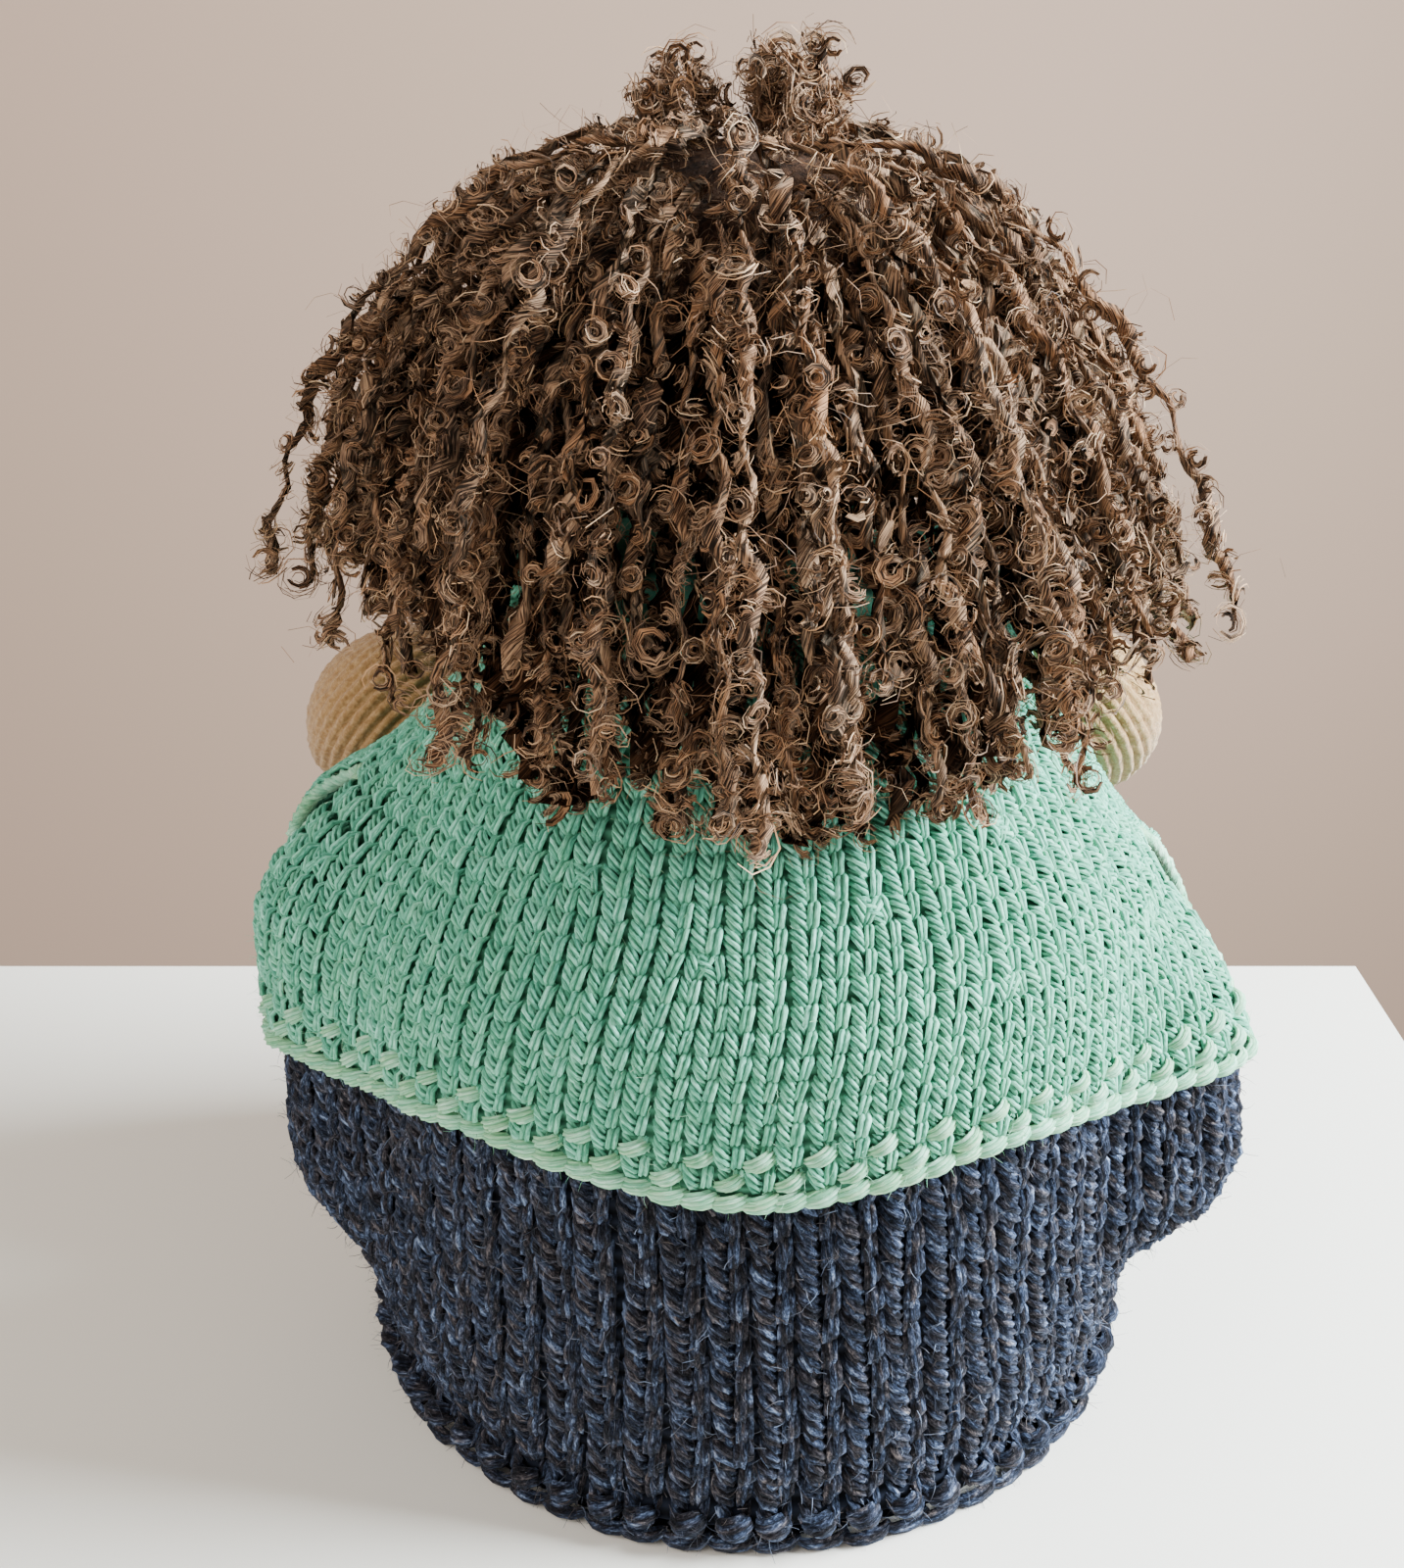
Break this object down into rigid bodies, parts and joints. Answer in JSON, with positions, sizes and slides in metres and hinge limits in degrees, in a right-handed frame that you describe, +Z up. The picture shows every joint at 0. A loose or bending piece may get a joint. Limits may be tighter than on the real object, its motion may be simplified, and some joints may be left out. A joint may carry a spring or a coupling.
{
  "type": "tea cosy",
  "caption": "Hand-knitted tea cosy: navy lower cover, mint top with a free hem, slits for spout and handle, stuffed rounds and a boucle mop on top.",
  "frame": {"origin": "centre of the overall box at the hem's underside, on the surface that the cosy stands on", "axes": "+Z up, +X towards the spout slit, -X towards the handle slit, -Y towards the back panel"},
  "size_m": [0.1656, 0.15, 0.2156],
  "materials": {
    "navy_wool": "heathered wool yarn, stocking stitch",
    "mint_wool": "plied double-knitting yarn, stocking stitch with a moss-stitch hem",
    "brown_boucle": "looped mohair boucle locks",
    "peach_wool": "stuffed stocking stitch"
  },
  "bodies": {
    "root": {"navy_cover": "navy_wool", "mint_top": "mint_wool", "hair_mop": "brown_boucle", "round_spout_side": "peach_wool", "round_handle_side": "peach_wool"}
  },
  "joints": []
}
